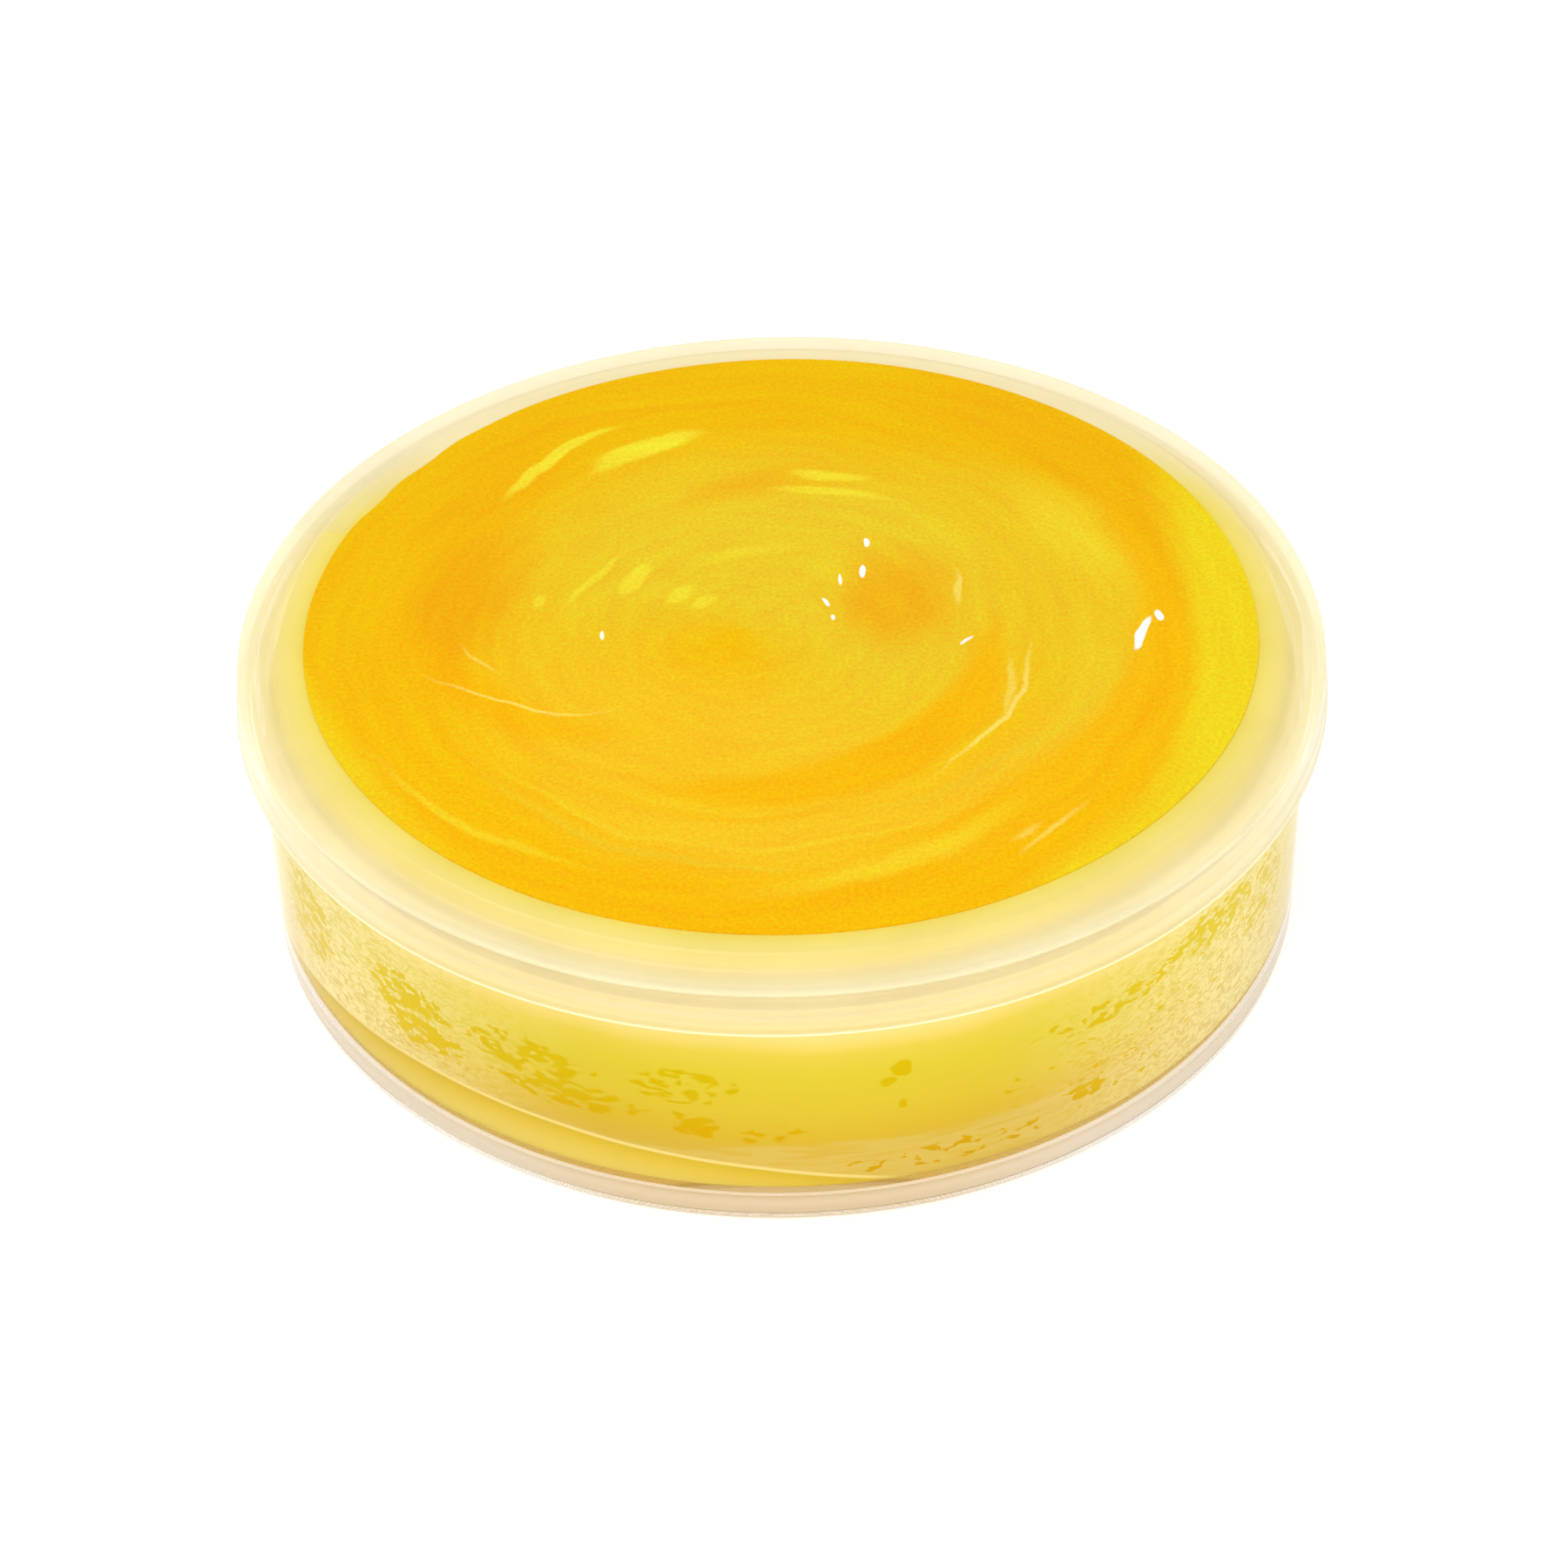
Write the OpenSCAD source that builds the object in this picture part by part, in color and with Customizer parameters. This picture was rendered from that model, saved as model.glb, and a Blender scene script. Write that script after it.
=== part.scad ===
// Low round tub of paint: a clear moulded cup, its paint, a milky press-on lid,
// a round label on the lid and a strip of clear tape over the lid's rim.
// The origin is the centre of the bottom, at the foot ring's lowest face, and +Z is up.
// The cup, paint, lid and label are turned shapes: each is half an outline, turned about Z.

/* [Cup] */
// Outer radius of the cup's straight wall
cup_r = 42.2; // [41:0.1:46]
// Height from the foot ring's lowest face to the top of the cup's rim
cup_h = 23; // [20:0.5:40]
// Thickness of the cup's wall
wall_t = 1; // [0.8:0.1:1.4]
// Thickness of the cup's floor
floor_t = 1.2; // [1:0.1:2]
// Height of the foot ring under the floor
foot_h = 1.3; // [1:0.1:2.5]
// Width of the foot ring
foot_w = 1.6; // [1.4:0.1:3]
// How far the cup's snap bead stands out of its wall
cup_bead_out = 0.2; // [0.1:0.05:0.3]

/* [Paint] */
// Gap between the paint's top, inside the plug ring, and the lid's panel
paint_gap = 0.4; // [0.3:0.1:2]

/* [Lid] */
// Thickness of the skirt's wall at the rim
skirt_t = 0.65; // [0.6:0.05:1.2]
// How much wider the skirt is at its lower edge than at the rim
skirt_flare = 0.35; // [0:0.05:0.6]
// Height of the skirt's outside
skirt_h = 3.9; // [3.4:0.1:5]
// Thickness of the lid over the cup's rim
rim_t = 1; // [0.8:0.1:1.4]
// How far the lid's centre panel stands above its rim
panel_rise = 0.9; // [0.4:0.1:1.5]
// Thickness of the centre panel
panel_t = 0.9; // [0.7:0.1:1.2]
// Depth of the plug ring below the lid's seat on the cup's rim
plug_depth = 2; // [1.5:0.1:3]
// Thickness of the plug ring
plug_t = 0.8; // [0.6:0.1:1.2]

/* [Label] */
// Radius of the round label
label_r = 38.05; // [30:0.05:39]
// Thickness of the label's paper and glue
label_t = 0.12; // [0.1:0.01:0.3]

/* [Seal tape] */
// Width of the tape
tape_w = 14; // [8:1:20]
// Thickness of the tape
tape_t = 0.06; // [0.04:0.01:0.1]
// Direction of the tape's middle, anticlockwise from +X
tape_angle = 149.5; // [0:0.5:360]

/* [Hidden] */
$fn = 160;

// Each outline arc is drawn with this many straight steps.
ARC_STEPS = 6;

// Cup
cup_ri = cup_r - wall_t;
floor_z = foot_h + floor_t;
foot_ri = cup_r - foot_w;
foot_edge = 0.4;
rim_round = 0.3;
floor_fillet = 0.5;
cup_bead_z = cup_h - 0.9;
bead_round = 0.6;

// Lid
lid_z = cup_h + rim_t;
panel_z = lid_z + panel_rise;
panel_under = panel_z - panel_t;
panel_r = cup_r - 2.4;
step_w = 1.3;
rim_edge = 0.5;
fit_gap = 0.2;
plug_ro = cup_ri - fit_gap;
plug_ri = plug_ro - plug_t;
plug_z = cup_h - plug_depth;
plug_edge = 0.25;
skirt_z = lid_z - skirt_h;
skirt_ri = cup_r + cup_bead_out + 0.35;
rim_r = skirt_ri + skirt_t;
skirt_lip = 0.25;
lid_bead_in = 0.2;
lid_bead_z = cup_h - 1.7;
skirt_inner_flare = 0.1;

// Paint: it reaches the plug ring's lower edge at the wall, and rises inside the ring.
paint_wall_z = plug_z - 0.3;
paint_r = plug_ri - 0.3;
paint_z = panel_under - paint_gap;
paint_round = 0.8;

// Points of an arc about (r, z), from angle a0 to a1.
function arc(r, z, rad, a0, a1, steps = ARC_STEPS) =
    [for (i = [0:steps])
        let (a = a0 + (a1 - a0) * i / steps)
        [r + rad * cos(a), z + rad * sin(a)]];

// A bead on an upright wall at radius r, from its lower end up, which stands out by out.
// side is 1 where it faces outwards and -1 where it faces the axis.
function bead(r, z, out, side) =
    let (half = acos(1 - out / bead_round))
    let (centre_r = r + side * (out - bead_round))
    let (facing = side > 0 ? 0 : 180)
    arc(centre_r, z, bead_round, facing - side * half, facing + side * half);

// The smooth step from the lid's panel down to its rim, from the inside out.
function panel_step(drop, r, z) =
    [for (i = [0:ARC_STEPS])
        let (s = i / ARC_STEPS)
        [r + s * step_w, z - drop * (1 - cos(180 * s)) / 2]];

// The lid's outside, from the panel's edge over the rim to the skirt's lower edge.
function lid_outside() = concat(
    panel_step(panel_rise, panel_r, panel_z),
    arc(rim_r - rim_edge, lid_z - rim_edge, rim_edge, 90, 0),
    [for (i = [1:ARC_STEPS])
        let (s = i / ARC_STEPS)
        [rim_r + skirt_flare * s * s,
         lid_z - rim_edge - s * (skirt_h - rim_edge - skirt_lip)]]
);

// The floor fillet inside the cup, from the wall down to the floor.
function inner_fillet() =
    arc(cup_ri - floor_fillet, floor_z + floor_fillet, floor_fillet, 0, -90);

module turned(points) {
    rotate_extrude() polygon(points);
}

module cup() {
    color([0.9, 0.93, 0.95, 0.45])
        turned(concat(
            arc(cup_r - foot_edge, foot_edge, foot_edge, -90, 0),
            bead(cup_r, cup_bead_z, cup_bead_out, 1),
            arc(cup_r - rim_round, cup_h - rim_round, rim_round, 0, 90),
            arc(cup_ri + rim_round, cup_h - rim_round, rim_round, 90, 180),
            inner_fillet(),
            [[0, floor_z], [0, foot_h]],
            arc(foot_ri - foot_edge, foot_h - foot_edge, foot_edge, 90, 0),
            arc(foot_ri + foot_edge, foot_edge, foot_edge, 180, 270)
        ));
}

module paint() {
    color([0.92, 0.78, 0.15])
        turned(concat(
            [[0, floor_z], [0, paint_z]],
            arc(paint_r - paint_round, paint_z - paint_round, paint_round, 90, 0),
            [[paint_r, paint_wall_z], [cup_ri, paint_wall_z]],
            inner_fillet()
        ));
}

module lid() {
    color([0.97, 0.94, 0.82, 0.8])
        turned(concat(
            [[0, panel_under], [0, panel_z]],
            lid_outside(),
            arc(rim_r + skirt_flare - skirt_lip, skirt_z + skirt_lip, skirt_lip, -20, -90),
            [[skirt_ri + skirt_inner_flare, skirt_z]],
            bead(skirt_ri, lid_bead_z, lid_bead_in, -1),
            [[skirt_ri, cup_h], [plug_ro, cup_h]],
            arc(plug_ro - plug_edge, plug_z + plug_edge, plug_edge, 0, -90),
            arc(plug_ri + plug_edge, plug_z + plug_edge, plug_edge, -90, -180),
            [[plug_ri, panel_under]]
        ));
}

module label() {
    color([0.96, 0.74, 0.06])
        translate([0, 0, panel_z])
            cylinder(r = label_r, h = label_t);
}

// The tape is a skin of tape_t on the lid's outside, cut to a straight strip.
module seal_tape() {
    skin_gap = 0.2;
    inner = concat([[label_r + skin_gap, panel_z]], lid_outside());
    last = len(inner) - 1;
    outer = [for (i = [last:-1:0])
        let (before = inner[max(i - 1, 0)])
        let (after = inner[min(i + 1, last)])
        let (along = after - before)
        inner[i] + tape_t * [-along[1], along[0]] / norm(along)];
    color([0.95, 0.96, 0.97, 0.5])
        intersection() {
            turned(concat(inner, outer));
            rotate([0, 0, tape_angle])
                translate([label_r / 2, -tape_w / 2, 0])
                    cube([cup_r, tape_w, cup_h * 2]);
        }
}

cup();
paint();
lid();
label();
seal_tape();
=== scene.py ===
import math

import bpy
from mathutils import Matrix, Vector, noise


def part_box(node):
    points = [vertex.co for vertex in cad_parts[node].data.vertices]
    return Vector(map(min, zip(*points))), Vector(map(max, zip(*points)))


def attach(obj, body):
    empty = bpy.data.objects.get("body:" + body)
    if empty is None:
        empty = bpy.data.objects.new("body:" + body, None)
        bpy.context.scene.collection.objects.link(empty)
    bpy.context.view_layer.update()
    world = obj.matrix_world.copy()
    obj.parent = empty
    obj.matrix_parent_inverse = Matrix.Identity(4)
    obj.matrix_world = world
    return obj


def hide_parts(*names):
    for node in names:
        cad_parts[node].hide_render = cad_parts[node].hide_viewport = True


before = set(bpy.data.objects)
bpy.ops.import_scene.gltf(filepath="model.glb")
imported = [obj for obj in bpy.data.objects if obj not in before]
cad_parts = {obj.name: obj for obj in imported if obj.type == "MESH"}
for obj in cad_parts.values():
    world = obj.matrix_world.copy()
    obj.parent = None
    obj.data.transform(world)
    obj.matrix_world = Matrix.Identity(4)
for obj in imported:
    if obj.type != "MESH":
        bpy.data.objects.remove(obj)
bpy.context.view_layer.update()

# A low clear tub of yellow paint with a milky lid, a round printed label and a strip of
# clear tape. Each piece is a finer mesh of its node in the frame, in the same place.

MM = 0.001

# Places that the frame gives, in metres.
_, CUP_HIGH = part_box("cup")
PAINT_LOW, PAINT_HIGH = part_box("paint")
LID_LOW, LID_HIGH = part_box("lid")
_, LABEL_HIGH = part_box("label")

# Cup
CUP_BEAD_OUT = 0.2 * MM
CUP_R = CUP_HIGH.x - CUP_BEAD_OUT
CUP_TOP = CUP_HIGH.z
WALL = 1.0 * MM
CUP_INNER_R = CUP_R - WALL
FLOOR_TOP = PAINT_LOW.z
FLOOR_THICK = 1.2 * MM
FOOT_TOP = FLOOR_TOP - FLOOR_THICK
FOOT_WIDTH = 1.6 * MM
FLOOR_FILLET = 0.5 * MM
CUP_BEAD_Z = CUP_TOP - 0.9 * MM

# Lid
SKIRT_R = LID_HIGH.x
SKIRT_FLARE = 0.35 * MM
RIM_R = SKIRT_R - SKIRT_FLARE
RIM_Z = CUP_TOP + 1.0 * MM
PANEL_Z = LID_HIGH.z
PANEL_THICK = 0.9 * MM
PANEL_R = CUP_R - 2.4 * MM
STEP_WIDTH = 1.3 * MM
SKIRT_Z = LID_LOW.z
SKIRT_INNER_R = CUP_R + CUP_BEAD_OUT + 0.35 * MM
LID_BEAD_Z = CUP_TOP - 1.7 * MM
LID_BEAD_IN = 0.2 * MM
PLUG_OUTER_R = CUP_INNER_R - 0.2 * MM
PLUG_INNER_R = PLUG_OUTER_R - 0.8 * MM
PLUG_Z = CUP_TOP - 2.0 * MM

# Label and tape
LABEL_R = LABEL_HIGH.x
SCREEN_DOTS = 524
TAPE_WIDTH = 14 * MM
TAPE_ANGLE = math.radians(149.5)

# Paint
PAINT_PRESS = 0.03 * MM
PAINT_TOP = PAINT_HIGH.z
PAINT_WALL_Z = PLUG_Z - 0.3 * MM
PAINT_R = PLUG_INNER_R - 0.3 * MM

ROUND_STEPS = 360


# ---------------------------------------------------------------- node trees

def linear(red, green, blue):
    """A colour given as screen values from 0 to 255, as the linear colour that shaders use."""
    def one(value):
        v = value / 255
        return v / 12.92 if v <= 0.04045 else ((v + 0.055) / 1.055) ** 2.4
    return (one(red), one(green), one(blue), 1)


class Tree:
    """One material's node tree, with short calls for the nodes that the materials share."""

    def __init__(self, name):
        self.material = bpy.data.materials.new(name)
        self.material.use_nodes = True
        self.nodes = self.material.node_tree.nodes
        self.links = self.material.node_tree.links
        self.nodes.clear()

    def put(self, socket, value):
        """Sets an input to a number or colour, or links another node's output to it."""
        if isinstance(value, bpy.types.NodeSocket):
            self.links.new(value, socket)
        elif value is not None:
            socket.default_value = value

    def add(self, kind, inputs=None, **settings):
        node = self.nodes.new(kind)
        for key, value in settings.items():
            setattr(node, key, value)
        for key, value in (inputs or {}).items():
            self.put(node.inputs[key], value)
        return node

    def math(self, operation, a, b=None, c=None, clamp=False):
        inputs = {i: v for i, v in enumerate((a, b, c)) if v is not None}
        return self.add("ShaderNodeMath", inputs, operation=operation, use_clamp=clamp).outputs[0]

    def vector(self, operation, a, b=None):
        inputs = {i: v for i, v in enumerate((a, b)) if v is not None}
        node = self.add("ShaderNodeVectorMath", inputs, operation=operation)
        return node.outputs["Value" if operation == "LENGTH" else "Vector"]

    def place(self):
        """The point being shaded, in the piece's own coordinates, in metres."""
        return self.add("ShaderNodeTexCoord").outputs["Object"]

    def split(self, vector):
        return self.add("ShaderNodeSeparateXYZ", {0: vector}).outputs

    def join(self, x, y, z=0.0):
        return self.add("ShaderNodeCombineXYZ", {0: x, 1: y, 2: z}).outputs[0]

    def noise(self, vector, scale, detail=2.0, roughness=0.5, distortion=0.0):
        node = self.add("ShaderNodeTexNoise", {
            "Vector": vector, "Scale": scale, "Detail": detail,
            "Roughness": roughness, "Distortion": distortion})
        return node.outputs["Fac"]

    def ramp(self, value, low, high, to_low=0.0, to_high=1.0, smooth=True):
        """Maps value from low..high onto to_low..to_high, with eased ends where smooth."""
        node = self.add("ShaderNodeMapRange", {
            "Value": value, "From Min": low, "From Max": high,
            "To Min": to_low, "To Max": to_high},
            interpolation_type="SMOOTHSTEP" if smooth else "LINEAR")
        return node.outputs["Result"]

    def mix(self, amount, first, second, blend="MIX"):
        node = self.add("ShaderNodeMix", data_type="RGBA", blend_type=blend)
        self.put(node.inputs["Factor"], amount)
        self.put(node.inputs["A"], first)
        self.put(node.inputs["B"], second)
        return node.outputs["Result"]

    def colours(self, value, stops):
        """A colour ramp of (place, colour) stops."""
        node = self.add("ShaderNodeValToRGB", {0: value})
        ramp = node.color_ramp
        while len(ramp.elements) < len(stops):
            ramp.elements.new(0.5)
        for element, (at, colour) in zip(ramp.elements, stops):
            element.position = at
            element.color = colour
        return node.outputs["Color"]

    def bump(self, height, strength, distance):
        node = self.add("ShaderNodeBump", {"Height": height, "Strength": strength,
                                           "Distance": distance})
        return node.outputs["Normal"]

    def mix_shader(self, amount, first, second):
        return self.add("ShaderNodeMixShader", {0: amount, 1: first, 2: second}).outputs[0]

    def finish(self, shader):
        self.add("ShaderNodeOutputMaterial", {"Surface": shader})
        return self.material


def lets_lamps_through(tree, shader, tint):
    """Clear plastic that refracts for the eye, and lets the lamps' light straight through."""
    open_air = tree.add("ShaderNodeBsdfTransparent", {"Color": tint}).outputs[0]
    shadow = tree.add("ShaderNodeLightPath").outputs["Is Shadow Ray"]
    return tree.mix_shader(shadow, shader, open_air)


def clear_plastic():
    """Polystyrene of the cup: clear and glossy, with a painted tan in the middle of the foot: a
    painted reflection of the paint above it, deeper at the foot's lowest edge as painted shade.
    The wall lies on the paint, so it bends and mirrors less than the foot does."""
    tree = Tree("clear_plastic")
    place = tree.place()
    flow = tree.noise(place, 60.0, detail=1.0)
    x, y, z = tree.split(place)
    wall_tint = tree.mix(flow, (0.99, 0.992, 0.995, 1), (0.985, 0.985, 0.98, 1))
    foot_painted_tint = tree.mix(tree.ramp(z, 0.7 * MM, 0.2 * MM),
                         (0.865, 0.82, 0.735, 1), (0.83, 0.76, 0.65, 1))
    # Towards the sides the painted tan gives way to grey.
    aside = tree.ramp(tree.math("ABSOLUTE", x), 0.2 * CUP_R, 0.6 * CUP_R, 0.0, 0.7)
    foot_painted_tint = tree.mix(aside, foot_painted_tint, (0.87, 0.855, 0.84, 1))
    wall = tree.add("ShaderNodeBsdfGlass", {
        "Color": wall_tint, "IOR": 1.12, "Roughness": 0.0}).outputs[0]
    foot = tree.add("ShaderNodeBsdfGlass", {
        "Color": foot_painted_tint, "IOR": 1.33, "Roughness": 0.0}).outputs[0]
    low = tree.ramp(z, FLOOR_TOP + 0.2 * MM, FLOOR_TOP - 0.2 * MM)
    glass = tree.mix_shader(low, wall, foot)
    return tree.finish(lets_lamps_through(tree, glass, (0.98, 0.985, 0.985, 1)))


def lid_top_colour_and_painted_glow(tree, radius, y, cloud):
    """From the label's edge out to the rim the milk turns from yellow to cream; the yellow is a
    painted glow of the paint close under the lid.
    """
    out = tree.ramp(tree.math("MULTIPLY_ADD", cloud, 0.5 * MM, radius),
                    LABEL_R, RIM_R, smooth=False)
    colour = tree.colours(out, (
        (0.00, linear(249, 227, 86)), (0.25, linear(253, 234, 122)),
        (0.48, linear(254, 235, 142)), (0.62, linear(253, 235, 166)),
        (0.80, linear(255, 242, 186)), (1.00, linear(255, 245, 200))))
    # Towards the back the painted glow gives way to cream.
    behind = tree.ramp(y, 0.3 * RIM_R, 0.65 * RIM_R)
    return tree.mix(tree.math("MULTIPLY", behind, 0.85), colour, linear(254, 240, 196))


def skirt_colour_and_painted_highlights(tree, x, z):
    """Down the skirt, painted light and shade over the cream: a painted highlight at the rim with
    a painted dark line under it, a soft painted highlight band, a darker band, and a painted
    highlight on the lip at the bottom.
    """
    up = tree.ramp(z, SKIRT_Z, RIM_Z, smooth=False)
    colour = tree.colours(up, (
        (0.05, linear(255, 246, 208)), (0.13, linear(238, 220, 130)),
        (0.30, linear(252, 235, 172)), (0.46, linear(255, 245, 204)),
        (0.56, linear(253, 236, 176)), (0.84, linear(255, 240, 182)),
        (0.90, linear(251, 235, 176)), (0.96, linear(255, 243, 196))))
    # The sides are painted whiter, a painted sheen.
    side = tree.ramp(tree.math("ABSOLUTE", x), 0.5 * RIM_R, 0.95 * RIM_R)
    return tree.mix(tree.math("MULTIPLY", side, 0.7), colour, linear(255, 250, 230))


def lid_haze(tree, radius, z, on_skirt, cloud):
    """How milky the lid is: most by the label, least on the skirt, more at the skirt's lip."""
    haze = tree.ramp(radius, LABEL_R, CUP_R, 0.9, 0.74)
    haze = tree.math("MULTIPLY_ADD", on_skirt, -0.36, haze)
    # The lip is made milkier so that, with its pale colour, it shows a painted highlight.
    lip = tree.ramp(z, SKIRT_Z + 0.4 * MM, SKIRT_Z + 0.25 * MM, 0.0, 0.4)
    haze = tree.math("ADD", haze, lip)
    return tree.math("ADD", haze, tree.ramp(cloud, 0.3, 0.7, -0.03, 0.03))


def milky_plastic():
    """Natural polyethylene of the lid: milky, with a painted glow of the paint close under it and
    painted highlights and shade lines down the skirt.
    """
    tree = Tree("milky_plastic")
    place = tree.place()
    x, y, z = tree.split(place)
    radius = tree.vector("LENGTH", tree.join(x, y))
    cloud = tree.noise(place, 130.0, detail=3.0)
    grain = tree.noise(place, 2500.0, detail=1.0)
    normal = tree.bump(tree.math("MULTIPLY_ADD", grain, 0.5, cloud), 0.12, 0.1 * MM)

    on_skirt = tree.ramp(z, RIM_Z - 0.1 * MM, RIM_Z - 0.3 * MM)
    top_colour = lid_top_colour_and_painted_glow(tree, radius, y, cloud)
    colour = tree.mix(on_skirt, top_colour, skirt_colour_and_painted_highlights(tree, x, z))
    haze = lid_haze(tree, radius, z, on_skirt, cloud)

    clear = tree.add("ShaderNodeBsdfTransparent", {"Color": (0.99, 0.985, 0.97, 1)}).outputs[0]
    body = tree.add("ShaderNodeBsdfDiffuse", {"Color": colour, "Normal": normal}).outputs[0]
    glow = tree.add("ShaderNodeBsdfTranslucent", {"Color": colour}).outputs[0]
    surface = tree.mix_shader(haze, clear, tree.mix_shader(0.12, body, glow))
    gloss = tree.add("ShaderNodeBsdfGlossy", {
        "Color": (1, 1, 1, 1), "Roughness": 0.3, "Normal": normal}).outputs[0]
    facing = tree.add("ShaderNodeLayerWeight", {"Blend": 0.5}).outputs["Facing"]
    shine = tree.math("MULTIPLY_ADD", tree.math("POWER", facing, 4.0), 0.2, 0.03)
    return tree.finish(tree.mix_shader(shine, surface, gloss))


def clear_tape():
    """Clear adhesive film: a gloss on top, and a slight haze from its glue."""
    tree = Tree("clear_tape")
    haze = tree.ramp(tree.noise(tree.place(), 700.0, detail=3.0), 0.35, 0.7, 0.02, 0.06)
    film = tree.add("ShaderNodeBsdfTransparent", {"Color": (0.998, 0.998, 0.995, 1)}).outputs[0]
    cloud = tree.add("ShaderNodeBsdfDiffuse", {"Color": linear(255, 251, 222)}).outputs[0]
    gloss = tree.add("ShaderNodeBsdfGlossy", {"Color": (1, 1, 1, 1), "Roughness": 0.08}).outputs[0]
    facing = tree.add("ShaderNodeLayerWeight", {"Blend": 0.5}).outputs["Facing"]
    shine = tree.math("MULTIPLY_ADD", tree.math("POWER", facing, 5.0), 0.4, 0.008)
    body = tree.mix_shader(haze, film, cloud)
    return tree.finish(tree.mix_shader(shine, body, gloss))


def front_angle(tree, x, y):
    """The angle round the tub in degrees: 0 at the front, positive towards +X."""
    radians = tree.math("ARCTAN2", x, tree.math("MULTIPLY", y, -1.0))
    return tree.math("MULTIPLY", radians, 180 / math.pi)


# The height in mm that is 1.0 on the wall's colour ramps.
RAMP_TOP = 24
# Where the paint has wetted the wall, in clusters of small patches: angle and height of
# the middle, half the angle, half the height, and how closely the patches lie.
# Angles are in degrees round from the front, heights in mm.
WET_CLUSTERS = (
    (-64, 11.0, 7, 4.6, 1.0), (-45, 12.0, 7, 2.6, 1.0), (-42, 9.5, 6, 2.2, 1.05),
    (-28, 12.2, 9, 2.0, 1.0), (-24, 9.6, 9, 1.6, 1.05), (-11, 12.6, 7, 2.0, 0.95),
    (-10, 8.6, 3, 1.8, 1.0), (-2, 8.2, 5, 1.2, 0.8), (11.5, 13.9, 1.3, 1.0, 1.2),
    (10.2, 12.7, 1.1, 0.6, 1.2), (11.6, 10.3, 0.5, 0.5, 1.3), (36, 13.2, 11, 1.4, 0.85),
    (52, 14.4, 10, 2.2, 1.0), (63, 12.0, 8, 4.0, 0.8), (33, 6.0, 3, 1.0, 1.0),
    (40, 8.5, 26, 5.0, 0.5), (16, 4.6, 14, 1.2, 0.7), (-85, 11.5, 9, 4.5, 0.8),
    (88, 12.0, 12, 4.5, 0.8), (140, 11.5, 16, 3.5, 0.9), (-135, 10.5, 14, 3.0, 0.9),
    (180, 12.5, 10, 2.5, 0.9),
)
# The paint has sagged off the wall in a shallow bow: its middle and its reach to each side
# in degrees, its top and the drop at the reach in mm.
SAG_ANGLE, SAG_REACH, SAG_TOP, SAG_DROP = -32.0, 34.0, 6.0, 2.2


def near_cluster(tree, angle, height, cluster):
    """The closeness of patches: greatest at an oval's middle, falling to 0 past its edge."""
    middle, level, half_angle, half_height, close = cluster
    turn = tree.math("WRAP", tree.math("SUBTRACT", angle, middle), 180.0, -180.0)
    across = tree.math("MULTIPLY", turn, 1 / half_angle)
    along = tree.math("MULTIPLY_ADD", height, 1 / half_height, -level / half_height)
    distance = tree.vector("LENGTH", tree.join(across, along))
    return tree.ramp(distance, 1.3, 0.6, 0.0, close)


def wall_film(tree, place, height, wander):
    """The film on the wall: orange low down, then yellow, then paler at the top."""
    level = tree.math("MULTIPLY_ADD", wander, 2.4, tree.math("SUBTRACT", height, 1.2))
    film = tree.colours(tree.math("MULTIPLY", level, 1 / RAMP_TOP), (
        (0.12, linear(209, 174, 66)), (0.26, linear(202, 166, 56)),
        (0.33, linear(205, 170, 44)), (0.44, linear(207, 180, 46)),
        (0.60, linear(209, 187, 48)), (0.68, linear(216, 191, 66)),
        (0.76, linear(234, 208, 122)), (0.90, linear(238, 212, 136))))

    # Low down it has dried thin, with level streaks.
    edge = tree.math("MULTIPLY_ADD", wander, 3.0, 5.2)
    below = tree.math("SUBTRACT", edge, height)
    streaks = tree.noise(tree.vector("MULTIPLY", place, (1.0, 1.0, 8.0)), 260.0, detail=4.0)
    streaks = tree.ramp(streaks, 0.62, 0.5, 0.2, 0.7)
    dry = tree.math("MULTIPLY", tree.ramp(below, -0.3, 0.3), streaks)
    return tree.mix(dry, film, linear(207, 178, 88))


def scratched(tree, film, flat, side):
    """The film with fine dry scratches round the tub's sides."""
    scratches = tree.noise(flat, 800.0, detail=5.0, roughness=0.75, distortion=1.5)
    scratches = tree.ramp(scratches, 0.40, 0.56, 0.3, 0.95)
    return tree.mix(tree.math("MULTIPLY", scratches, side), film, linear(238, 220, 148))


def wetted(tree, film, flat, side, angle, height):
    """The film with its wetted patches, which have crisp, ragged edges."""
    cover = 0.0
    for cluster in WET_CLUSTERS:
        cover = tree.math("MAXIMUM", near_cluster(tree, angle, height, cluster), cover)
    ragged = tree.noise(flat, 800.0, detail=3.0, roughness=0.55, distortion=0.3)
    ragged = tree.ramp(ragged, 0.28, 0.72, smooth=False)
    wet = tree.ramp(tree.math("MULTIPLY_ADD", cover, 0.75, ragged), 1.17, 1.19)
    deep = tree.colours(tree.math("MULTIPLY", height, 1 / RAMP_TOP), (
        (0.18, linear(199, 152, 4)), (0.33, linear(202, 158, 0)),
        (0.42, linear(201, 167, 0)), (0.62, linear(202, 173, 0))))
    deep = tree.mix(tree.math("MULTIPLY", side, 0.8), deep, linear(222, 194, 24))
    return tree.mix(wet, film, deep)


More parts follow.
